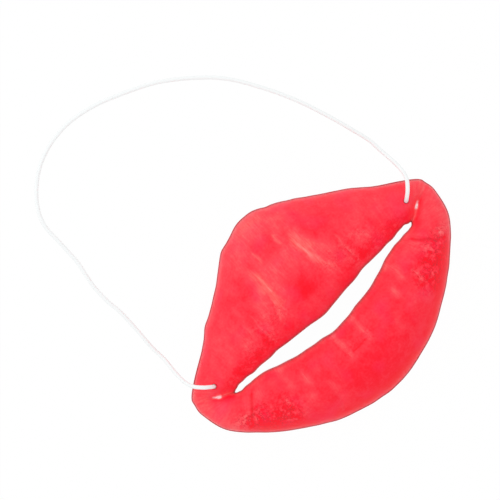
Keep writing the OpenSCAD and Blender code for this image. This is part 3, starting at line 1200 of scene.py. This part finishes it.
    def _marks(self, points: Array, angle: Array, depth: Array) -> dict[str, Array]:
        """Works out the numbers that the vinyl's finish reads at each point of the rings.

        Args:
            points: The rings' points.
            angle: The section angle of each ring.
            depth: Where each ring lies in the wall, 0 on the front and 1 on the back.

        Returns:
            The numbers of each point by the name under which the mesh carries them.
        """
        side, up = points[..., 0], points[..., 1] + self.middle_up
        stray_x, stray_y = (
            self.mark_stray * lattice_noise(side / wide, up / high, seed)
            for wide, high, seed in self.mark_lumps
        )
        x, y = np.abs(side) + stray_x, up + stray_y
        inside = self._section(angle)[0] * self.breadth
        left_over = self.breadth - inside
        near_rim = 1 - ease(left_over, *self.streak_rim_fade)
        streaked = ease(self.share, *self.corner_fade) * ease(inside, *self.fold_fade)
        streaked = streaked * (1 - (1 - self.streak_rim_share) * near_rim)
        tone, pale = self._tinted(side, x, y)
        tone = tone + self._banded(self.slot_bands, inside, x)
        tone = tone + self._banded(self.rim_bands, left_over, x)
        # Painted light and shade on the wrinkles: paler on their crests, darker in their valleys.
        tone = tone + self.wrinkle_tone * streaked * self._wrinkles(inside)
        hidden = ease(depth, *self.hidden_depth)[:, None]
        tone = tone * (1 - self.hidden_tone[0] * hidden) - self.hidden_tone[1] * hidden
        # Painted shade along the slot's edge, as a contact shadow at the foot, along the rim and
        # on the crease line.
        slot_shade, slot_shade_at, slot_shade_half_width = self.slot_shade
        line_shade, line_half_width = self.crease_line_shade
        painted_shade = self.painted_shade * np.max([
            slot_shade * bell(inside - slot_shade_at, slot_shade_half_width),
            self.foot_shade * ease(points[..., 2], *self.foot_shade_up),
            self._by_lip(self.lip_rim_shades) * bell(left_over, self.rim_shade_half_width),
            line_shade * bell(to_stroke(x, y, self.shaded_crease_line), line_half_width),
        ], axis=0)
        # The upper lip's pale tints, painted highlights over vinyl thinned by stretching, turn
        # orange.
        stretched = (pale - self.stretched_from) * self.stretched_gain
        stretched = np.clip(stretched, 0, self.stretched_most) * (self.lip > 0)
        return {
            "tone": np.clip(tone, *self.tone_limits),
            "crazed": sum(patch.at(x, y) for patch in self.crazed),
            "streaked": streaked,
            "stretched": stretched * ease(x, *self.stretched_fade) * (1 - hidden),
            "painted_shade": painted_shade * (1 - hidden),
            "along": np.broadcast_to(self.along, tone.shape),
            "across": inside,
        }

    def _sleeve(self, shell: BMesh, side: Side) -> None:
        """Punches one cord hole through the wall and lines it.

        Args:
            shell: The shell's mesh with closed front and back.
            side: Side of the mouth.
        """
        hx, hy = side.value * self.hole[0], self.hole[1] - self.middle_up
        off = {v: math.hypot(v.co.x - hx, v.co.y - hy) for v in shell.verts}
        near = [v for v in shell.verts if off[v] < self.hole_patch]
        clear = self.hole_radius + self.edge_round + self.hole_margin
        loops, fits = [], []
        walls = [[v for v in near if v.normal.z * sign > 0] for sign in (1, -1)]
        for wall in walls:
            at = np.array([v.co for v in wall])
            terms = quadric(at[:, 0] - hx, at[:, 1] - hy).T
            fits.append(np.linalg.lstsq(terms, at[:, 2], rcond=None)[0])
            taken = {f for v in wall if off[v] < clear for f in v.link_faces}
            rim = {e for f in taken for e in f.edges if not all(g in taken for g in e.link_faces)}
            bmesh.ops.delete(shell, geom=list(taken), context="FACES_ONLY")
            loops.append(list(rim))
        dead = [e for e in shell.edges if not e.link_faces]
        bmesh.ops.delete(shell, geom=dead, context="EDGES")
        loose = [v for v in shell.verts if not v.link_edges]
        bmesh.ops.delete(shell, geom=loose, context="VERTS")
        steps = self._corner_steps()
        levels = [(self.hole_radius + out, -down, fits[0]) for out, down in steps]
        levels += [(self.hole_radius + out, down, fits[1]) for out, down in reversed(steps)]
        turn = 2 * np.pi * np.arange(self.hole_sides) / self.hole_sides
        rings = []
        for radius, up, fit in levels:
            dx, dy = radius * np.cos(turn), radius * np.sin(turn)
            places = np.column_stack([hx + dx, hy + dy, fit @ quadric(dx, dy) + up])
            rings.append([shell.verts.new(place) for place in places])
        for upper, lower in zip(rings, rings[1:]):
            join_rings(shell, upper, lower)
        for loop, ring in zip(loops, (rings[0], rings[-1])):
            around = [shell.edges.get((ring[k - 1], ring[k])) for k in range(self.hole_sides)]
            bmesh.ops.bridge_loops(shell, edges=loop + around)

    def build(self, finish: MouldedVinyl) -> Object:
        """Makes the shell's mesh and dresses it.

        Args:
            finish: The vinyl that it is moulded from.

        Returns:
            The finished piece.
        """
        points, angle, depth = self._rings()
        shell = bmesh.new()
        marks = [
            (shell.verts.layers.float.new(name), values)
            for name, values in self._marks(points, angle, depth).items()
        ]
        rings = []
        for k, ring in enumerate(points):
            rings.append([shell.verts.new(place) for place in ring])
            for i, vertex in enumerate(rings[-1]):
                for layer, values in marks:
                    vertex[layer] = values[k, i]
        for lower, upper in zip(rings, rings[1:] + rings[:1]):
            join_rings(shell, lower, upper)
        shell.normal_update()
        bmesh.ops.recalc_face_normals(shell, faces=shell.faces)
        shell.normal_update()
        for side in Side:
            self._sleeve(shell, side)
        bmesh.ops.recalc_face_normals(shell, faces=shell.faces)
        if shell.calc_volume(signed=True) < 0:
            bmesh.ops.reverse_faces(shell, faces=shell.faces)
        bmesh.ops.scale(shell, vec=(MM, MM, MM), verts=shell.verts)
        mesh = mesh_of("lips_moulding", shell)
        shown = mesh_object("lips_moulding", mesh, finish.material())
        declare(shown, "lips_plastic", "lips_shell")
        return shown


class GeometryTree:
    """A Geometry Nodes tree with named inputs that is run on a mesh."""

    def _open(self, name: str, sockets: Mapping[str, str]) -> tuple[Graph, dict[str, Wire]]:
        """Makes the tree, still empty.

        Args:
            name: The tree's name.
            sockets: The type of each input by its name.

        Returns:
            The tree's graph, and its inputs by their names.
        """
        self.tree = bpy.data.node_groups.new(name, "GeometryNodeTree")
        face = self.tree.interface
        face.new_socket("Geometry", in_out="OUTPUT", socket_type="NodeSocketGeometry")
        face.new_socket("Geometry", in_out="INPUT", socket_type="NodeSocketGeometry")
        self.inputs = {}
        for label, kind in sockets.items():
            made = face.new_socket(label, in_out="INPUT", socket_type=f"NodeSocket{kind}")
            self.inputs[label] = made.identifier
        g = Graph(self.tree)
        given = self.tree.nodes.new("NodeGroupInput")
        return g, {s.name: Wire(g, s) for s in given.outputs if s.name}

    @staticmethod
    def _close(g: Graph, geometry: Wire, material: Wire) -> None:
        """Ends the tree with plain geometry of one material.

        Args:
            g: The tree's graph.
            geometry: What the tree has made.
            material: The material.
        """
        whole = g.add("GeometryNodeRealizeInstances", None, {"Geometry": geometry})
        dressed = g.add("GeometryNodeSetMaterial", None, {"Geometry": whole, "Material": material})
        g.add("NodeGroupOutput", None, {"Geometry": dressed})

    def _run(self, mesh: Mesh, values: Mapping[str, Any]) -> Mesh:
        """Runs the tree on a mesh, which it uses up.

        Args:
            mesh: The mesh that goes in.
            values: What each input is set to.

        Returns:
            A plain mesh without modifiers.
        """
        holder = bpy.data.objects.new(self.tree.name, mesh)
        bpy.context.scene.collection.objects.link(holder)
        modifier = holder.modifiers.new(self.tree.name, "NODES")
        modifier.node_group = self.tree
        for name, value in values.items():
            modifier[self.inputs[name]] = value
        graph = bpy.context.evaluated_depsgraph_get()
        made = bpy.data.meshes.new_from_object(holder.evaluated_get(graph))
        holder.modifiers.remove(modifier)
        bpy.data.objects.remove(holder)
        bpy.data.meshes.remove(mesh)
        return made


@dataclass
class BraidTree(GeometryTree):
    """Geometry Nodes tree that covers a line with a braided tube."""

    strands: int = 8
    facets: int = 5
    cell_length: float = 1.0
    depth: float = 0.09
    roundness: float = 0.75
    low_share: float = 0.65
    uneven: float = 0.22
    seed: int = 7

    def __post_init__(self) -> None:
        """Builds the tree with its named inputs and its nodes."""
        g, value = self._open("braided_tube", {
            "Diameter": "Float", "Strands": "Int", "Facets Per Cell": "Int",
            "Cell Length": "Float", "Braid Depth": "Float", "Seed": "Float",
            "Material": "Material",
        })
        facets = value["Facets Per Cell"]
        line = g.add("GeometryNodeMeshToCurve", None, {"Mesh": value["Geometry"]})
        line = g.add(
            "GeometryNodeResampleCurve", {"mode": "LENGTH"},
            {"Curve": line, "Length": value["Cell Length"] / facets},
        )
        index = g.add("GeometryNodeSplineParameter", output="Index")
        circle = g.add(
            "GeometryNodeCurvePrimitiveCircle", {"mode": "RADIUS"},
            {"Resolution": value["Strands"] * facets, "Radius": value["Diameter"] / 2},
        )
        tube = g.add("GeometryNodeCurveToMesh", None, {
            "Curve": self._store(g, line, "ring", index),
            "Profile Curve": self._store(g, circle, "side", index),
            "Fill Caps": True,
        })
        crown = self._crown(g, facets, value["Seed"])
        sink = g.add(
            "ShaderNodeVectorMath", {"operation": "SCALE"},
            {
                "Vector": g.add("GeometryNodeInputNormal"),
                "Scale": (crown - 1) * value["Braid Depth"],
            },
            "Vector",
        )
        tube = self._store(g, tube, "crown", crown)
        tube = g.add("GeometryNodeSetPosition", None, {"Geometry": tube, "Offset": sink})
        self._close(g, tube, value["Material"])

    def _crown(self, g: Graph, facets: Wire, seed: Wire) -> Wire:
        """Works out the braid's height, 0 between the strands and up to 1 on them.

        Args:
            g: The tree's graph.
            facets: Number of facets to a cell of the braid.
            seed: Which chances make the cells uneven.

        Returns:
            The height at each point of the tube.
        """
        ring, side = (
            g.add("GeometryNodeInputNamedAttribute", {"data_type": "FLOAT"}, {"Name": name})
            for name in ("ring", "side")
        )
        left = (side + ring) / facets + 0.5 / facets
        right = (side - ring) / facets + 0.5 / facets
        top_is_right = ((left.floor() + right.floor()) / 2).fraction() * 2
        humps = [1 - (p.fraction() * 2 - 1) ** 2 for p in (left, right)]
        over_left, over_right = (
            top**self.roundness * (low * (1 - self.low_share) + self.low_share)
            for top, low in (humps, humps[::-1])
        )
        crown = over_left + top_is_right * (over_right - over_left)
        cell = g.add("ShaderNodeCombineXYZ", None, {0: left.floor(), 1: right.floor(), 2: 0.5})
        chance = g.add(
            "ShaderNodeTexWhiteNoise", {"noise_dimensions": "4D"},
            {"Vector": cell, "W": seed}, "Value",
        )
        return crown * (1 - chance * self.uneven)

    @staticmethod
    def _store(g: Graph, geometry: Wire, name: str, number: Wire) -> Wire:
        """Stores a number on each point under a name."""
        return g.add(
            "GeometryNodeStoreNamedAttribute", {"data_type": "FLOAT", "domain": "POINT"},
            {"Geometry": geometry, "Name": name, "Value": number},
        )

    def cover(self, lines: Sequence[Array], diameter: float, material: Material) -> Mesh:
        """Runs the tree on some lines and gives the plain mesh.

        Args:
            lines: Centrelines in metres.
            diameter: Outer diameter in metres.
            material: What the tube is made of.

        Returns:
            A mesh without modifiers.
        """
        mesh = bpy.data.meshes.new("centrelines")
        edges, start = [], 0
        for line in lines:
            edges += [(start + k, start + k + 1) for k in range(len(line) - 1)]
            start += len(line)
        mesh.from_pydata([tuple(map(float, p)) for p in np.vstack(lines)], edges, [])
        return self._run(mesh, {
            "Diameter": diameter,
            "Strands": self.strands,
            "Facets Per Cell": self.facets,
            "Cell Length": self.cell_length * MM,
            "Braid Depth": self.depth * MM,
            "Seed": float(self.seed),
            "Material": material,
        })


@dataclass
class TuftTree(GeometryTree):
    """Geometry Nodes tree that plants copies of a small shape evenly on a ring or disc."""

    seed: int = 11
    golden: float = 2.39996
    lean: float = 0.6

    def __post_init__(self) -> None:
        """Builds the tree with its named inputs and its nodes."""
        g, value = self._open("planted_tuft", {
            "Count": "Int", "Inner Radius": "Float", "Outer Radius": "Float",
            "Shortest": "Float", "Seed": "Int", "Material": "Material",
        })
        index = g.add("GeometryNodeInputIndex")
        inner, outer = value["Inner Radius"] ** 2, value["Outer Radius"] ** 2
        radius = (inner + (outer - inner) * ((index + 0.5) / value["Count"])) ** 0.5
        turn = index * self.golden
        place = self._vector(g, radius * turn.cosine(), radius * turn.sine(), 0.0)
        points = g.add("GeometryNodePoints", None, {"Count": value["Count"], "Position": place})
        length = self._chance(g, value["Shortest"], 1.0, value["Seed"])
        lean = self._chance(g, -self.lean, self.lean, value["Seed"] + 1)
        planted = g.add("GeometryNodeInstanceOnPoints", None, {
            "Points": points,
            "Instance": value["Geometry"],
            "Rotation": self._vector(g, 0.0, 0.0, turn + lean),
            "Scale": self._vector(g, 1.0, 1.0, length),
        })
        self._close(g, planted, value["Material"])

    @staticmethod
    def _vector(g: Graph, *parts: Term) -> Wire:
        """Puts three numbers together."""
        return g.add("ShaderNodeCombineXYZ", None, dict(enumerate(parts)))

    @staticmethod
    def _chance(g: Graph, low: Term, high: float, seed: Wire) -> Wire:
        """Draws a number for each point."""
        return g.add(
            "FunctionNodeRandomValue", {"data_type": "FLOAT"},
            {"Min": low, "Max": high, "Seed": seed}, 1,
        )

    def plant(
        self,
        shape: Mesh,
        count: int,
        radii: Pair,
        shortest: float,
        material: Material,
    ) -> Mesh:
        """Plants copies of a shape.

        Args:
            shape: The shape, which stands on the origin along Z and is used up.
            count: Number of copies.
            radii: Inner and outer radius of the ring in metres.
            shortest: Length of the shortest copy as a share of the longest.
            material: What the copies are made of.

        Returns:
            A mesh without modifiers.
        """
        return self._run(shape, {
            "Count": count,
            "Inner Radius": radii[0],
            "Outer Radius": radii[1],
            "Shortest": shortest,
            "Seed": self.seed,
            "Material": material,
        })


@dataclass
class ElasticCord:
    """The loop of elastic, from one hole round to the other, on the CAD cord's route."""

    diameter: float = 1.8
    hole: Place = (57.0, 5.5)
    hole_up: float = 13.595
    knot_up: float = 10.285
    lead: tuple[Point, ...] = (
        (0, 0, 1), (0.3, 0.2, 2.7), (1.4, 1.1, 4.6), (3.6, 3, 5.8), (6.3, 6.2, 4.4),
        (7.8, 10, -2), (8, 16, -7.5), (7.5, 23, -11.8),
    )
    loop: tuple[Place, ...] = (
        (64, 35), (62, 43), (58.5, 55), (53.5, 69), (46.5, 83.5), (38, 97), (28, 107), (16, 116),
        (4, 122), (-10, 127.5), (-24, 130), (-37, 128.5), (-48, 123.5), (-57, 115), (-61.5, 106),
        (-62, 95), (-62.5, 84), (-64.5, 73), (-64.8, 64), (-64, 56), (-64.3, 45), (-64.8, 36),
    )
    steps: int = 16
    path_gap: float = 0.5

    def route(self) -> Array:
        """Lays the cord's centreline.

        Returns:
            Close points along it, in metres.
        """
        right, left = (
            [(s * self.hole[0], self.hole[1], self.knot_up)] + [
                (s * (self.hole[0] + x), self.hole[1] + y, self.hole_up + z)
                for x, y, z in self.lead
            ]
            for s in (1, -1)
        )
        ground = [(x, y, self.diameter / 2) for x, y in self.loop]
        points = np.array([*right, *ground, *reversed(left)])
        spare = [2 * points[0] - points[1], *points, 2 * points[-1] - points[-2]]
        line = smooth_through(spare, self.steps)
        line[:, 2] = np.maximum(line[:, 2], self.diameter / 2)
        return evenly(line, self.path_gap) * MM

    def build(self, braid: BraidTree, finish: BraidedElastic) -> Object:
        """Makes the braided cord along its route.

        Args:
            braid: The tree that covers its centreline.
            finish: The textile that it is braided from.

        Returns:
            The finished piece, which is not declared as a cord.
        """
        mesh = braid.cover([self.route()], self.diameter * MM, finish.material())
        shown = mesh_object("elastic_loop", mesh, mesh.materials[0])
        declare(shown, "cord_elastic", "elastic_cord")
        return shown

    def declare_free(self) -> None:
        """Lays out the cord's route again and does nothing more with it.
        """
        route = self.route()


@dataclass
class StopperKnot:
    """A cord end tied off inside the shell: two turns round the cord, and a cut tail.

    Sizes are in diameters of the cord, except for the tail's.
    """

    side: Side
    cord: ElasticCord
    turns: int = 2
    bend: float = 1.6
    tail: float = 6.0
    tail_short: float = 0.7
    tuck: float = 0.3
    tuck_in: float = 0.42
    tuck_along: float = 0.2
    wrap_radius: float = 0.98
    wrap_from: float = 0.52
    wrap_pitch: float = 0.96
    wrap_turn: float = 0.6

    def lines(self) -> list[Array]:
        """Lays the centrelines of the knot.

        Returns:
            The core with its tail, and the turns, in metres.
        """
        d = self.cord.diameter
        height, bend_r = self.turns * d, self.bend * d
        arc = np.radians(np.linspace(0, 90, 19))
        core = [(0, 0, -z) for z in np.linspace(0.1, height, 8)]
        core += [(-bend_r * (1 - math.cos(q)), 0, -height - bend_r * math.sin(q)) for q in arc[1:]]
        core += [(-bend_r - s, 0, -height - bend_r) for s in np.linspace(0, self.tail, 13)[1:]]
        core[-1] = (core[-1][0] + self.tail_short, *core[-1][1:])
        turn = np.linspace(-self.tuck, self.turns + self.tuck, 150)
        full = np.clip(turn, 0, self.turns)
        tucked = np.abs(turn - full) / self.tuck
        radius = d * (self.wrap_radius - self.tuck_in * tucked**1.5)
        step = ease(full % 1.0, 0.55, 1.0) + np.floor(full)
        down = d * (self.wrap_from + np.clip(step, 0, self.turns - 1) * self.wrap_pitch)
        down = down + np.where(turn > full, -1, 1) * self.tuck_along * d * tucked
        angle = 2 * np.pi * turn + self.wrap_turn
        wraps = np.column_stack([radius * np.cos(angle), radius * np.sin(angle), -down])
        return [self._placed(np.array(core)), self._placed(wraps)]

    def _placed(self, line: Array) -> Array:
        """Moves a line to the place of the knot.

        Args:
            line: Points from the knot's top, for the right side.

        Returns:
            The points in the row frame, in metres.
        """
        sign = self.side.value
        x, y = sign * self.cord.hole[0], self.cord.hole[1]
        return (line * [sign, 1, 1] + [x, y, self.cord.knot_up]) * MM

    def build(self, braid: BraidTree, finish: BraidedElastic) -> Object:
        """Makes the knot.

        Args:
            braid: The tree that covers its centrelines.
            finish: The textile that it is braided from.

        Returns:
            The finished piece.
        """
        name = self.side.name.lower()
        mesh = braid.cover(self.lines(), self.cord.diameter * MM, finish.material())
        shown = mesh_object(f"stopper_knot_{name}", mesh, mesh.materials[0])
        declare(shown, "cord_elastic", f"knot_{name}")
        return shown


@dataclass
class CutTip:
    """The cut end of a knot's tail: rubber threads of the core and frayed cover fibres.

    What lies on the cover's circle is given as shares of its radius.
    """

    knot: StopperKnot
    threads: int = 7
    thread_radius: float = 0.21
    thread_out: float = 0.42
    thread_in: float = 0.3
    thread_ring: Pair = (0.0, 0.66)
    thread_shortest: float = 0.75
    fibres: int = 72
    fibre_radius: float = 0.03
    fibre_taper: float = 0.6
    fibre_out: float = 0.55
    fibre_in: float = 0.1
    fibre_wave: float = 0.06
    fibre_sides: int = 5
    fibre_ring: Pair = (0.78, 0.96)
    fibre_shortest: float = 0.45
    splay: float = 0.32

    def _thread(self) -> Mesh:
        """Makes one rubber thread with a rounded end, mostly inside the cover.

        Returns:
            The thread, which stands along Z.
        """
        shape = bmesh.new()
        bmesh.ops.create_uvsphere(
            shape, u_segments=14, v_segments=10, radius=self.thread_radius * MM
        )
        for vertex in shape.verts:
            above = vertex.co.z > 0
            vertex.co.z += MM * (
                self.thread_out - self.thread_radius if above else -self.thread_in
            )
        return mesh_of("rubber_thread", shape)

    def _fibre(self) -> Mesh:
        """Makes one fibre that leaves the cover and bends outwards.

        Returns:
            The fibre, which stands along Z.
        """
        run = np.linspace(0.0, 1.0, 6)
        line = np.column_stack([
            self.splay * run**2, self.fibre_wave * np.sin(4 * run), run * self.fibre_out
        ])
        line[:, 2] -= self.fibre_in
        turns = [2 * math.pi * k / self.fibre_sides for k in range(self.fibre_sides)]
        shape = bmesh.new()
        rings = [
            [
                shape.verts.new(((x + r * math.cos(q)) * MM, (y + r * math.sin(q)) * MM, z * MM))
                for q in turns
            ]
            for (x, y, z), r in zip(line, self.fibre_radius * (1 - self.fibre_taper * run))
        ]
        for lower, upper in zip(rings, rings[1:]):
            join_rings(shape, lower, upper)
        shape.faces.new(rings[0][::-1])
        shape.faces.new(rings[-1])
        bmesh.ops.recalc_face_normals(shape, faces=shape.faces)
        return mesh_of("cover_fibre", shape)

    def build(self, tuft: TuftTree, cover: BraidedElastic, core: RubberThread) -> list[Object]:
        """Makes the threads and the fibres and puts them on the tail's end.

        Args:
            tuft: The tree that plants them.
            cover: Finish of the fibres.
            core: Finish of the threads.

        Returns:
            The two finished pieces.
        """
        tail = self.knot.lines()[0]
        out = Vector(tail[-1] - tail[-2]).normalized()
        turned = out.to_track_quat("Z", "Y").to_matrix().to_4x4()
        stand = Matrix.Translation(Vector(tail[-1])) @ turned
        radius = self.knot.cord.diameter / 2 * MM
        made = []
        for name, shape, count, ring, shortest, finish in (
            ("core_threads", self._thread, self.threads, self.thread_ring,
             self.thread_shortest, core),
            ("cover_fray", self._fibre, self.fibres, self.fibre_ring,
             self.fibre_shortest, cover),
        ):
            radii = tuple(radius * share for share in ring)
            mesh = tuft.plant(shape(), count, radii, shortest, finish.material())
            mesh.transform(stand)
            name = f"{name}_{self.knot.side.name.lower()}"
            made.append(mesh_object(name, mesh, mesh.materials[0]))
            declare(made[-1], "cord_elastic")
        return made


# ---------------------------------------------------------------- studio


@dataclass
class Studio:
    """Camera, lamp, sky and floor."""

    turn: float = -44.0
    centre: Place = (-5.474, 36.712)
    across: float = 214.6
    distance: float = 2500.0
    sensor: float = 36.0
    clip: Pair = (0.01, 100.0)
    floor_size: float = 6000.0
    sky_level: float = 0.92
    lamp_place: Point = (-250.0, 950.0, 1300.0)
    lamp_size: float = 1300.0
    lamp_power: float = 5.5

    def camera(self) -> None:
        """Makes the camera, which looks straight down."""
        data = bpy.data.cameras.new("camera")
        data.sensor_width = self.sensor
        data.lens = self.sensor * self.distance / self.across
        data.clip_start, data.clip_end = self.clip
        made = bpy.data.objects.new("camera", data)
        made.location = Vector((*self.centre, self.distance)) * MM
        made.rotation_euler = (0.0, 0.0, math.radians(self.turn))
        bpy.context.scene.collection.objects.link(made)
        bpy.context.scene.camera = made

    def floor(self, finish: PaleFloor) -> None:
        """Makes the floor under the mask.

        Args:
            finish: What it is made of.
        """
        half = self.floor_size / 2 * MM
        mesh = bpy.data.meshes.new("floor")
        corners = [(-half, -half, 0), (half, -half, 0), (half, half, 0), (-half, half, 0)]
        mesh.from_pydata(corners, [], [(0, 1, 2, 3)])
        mesh_object("floor", mesh, finish.material())

    def sky(self) -> None:
        """Surrounds the mask with an even white tent."""
        world = bpy.data.worlds.new("tent")
        bpy.context.scene.world = world
        world.use_nodes = True
        g = Graph(world.node_tree)
        seen = g.add("ShaderNodeLightPath", output="Is Camera Ray")
        strength = seen * (1 - self.sky_level) + self.sky_level
        sky = g.add("ShaderNodeBackground", None, {"Color": (1.0, 1.0, 1.0), "Strength": strength})
        g.add("ShaderNodeOutputWorld", None, {"Surface": sky})

    def lamp(self) -> None:
        """Makes the one soft box, which faces the mask."""
        data = bpy.data.lights.new("window", "AREA")
        data.shape = "SQUARE"
        data.size = self.lamp_size * MM
        data.energy = self.lamp_power
        made = bpy.data.objects.new("window", data)
        made.location = Vector(self.lamp_place) * MM
        made.rotation_euler = (-made.location).to_track_quat("-Z", "Y").to_euler()
        made.visible_camera = False
        bpy.context.scene.collection.objects.link(made)

    def build(self) -> None:
        """Makes all of it."""
        self.camera()
        self.floor(PaleFloor())
        self.sky()
        self.lamp()
        LOG.info("studio: camera, floor, sky and lamp")


def main() -> None:
    """Builds the mask, piece by piece, in its studio."""
    logging.basicConfig(level=logging.INFO, format="%(name)s %(message)s")
    bpy.context.scene.view_settings.view_transform = "Standard"
    braid, tuft = BraidTree(), TuftTree()
    elastic, rubber = BraidedElastic(), RubberThread()
    cord = ElasticCord()
    loop = cord.build(braid, elastic)
    on_cord = []
    for side in Side:
        knot = StopperKnot(side, cord)
        on_cord.append(knot.build(braid, elastic))
        on_cord += CutTip(knot).build(tuft, elastic, rubber)
    cord.declare_free()
    LipsShell().build(MouldedVinyl())
    Studio().build()


if __name__ == "__main__":
    main()
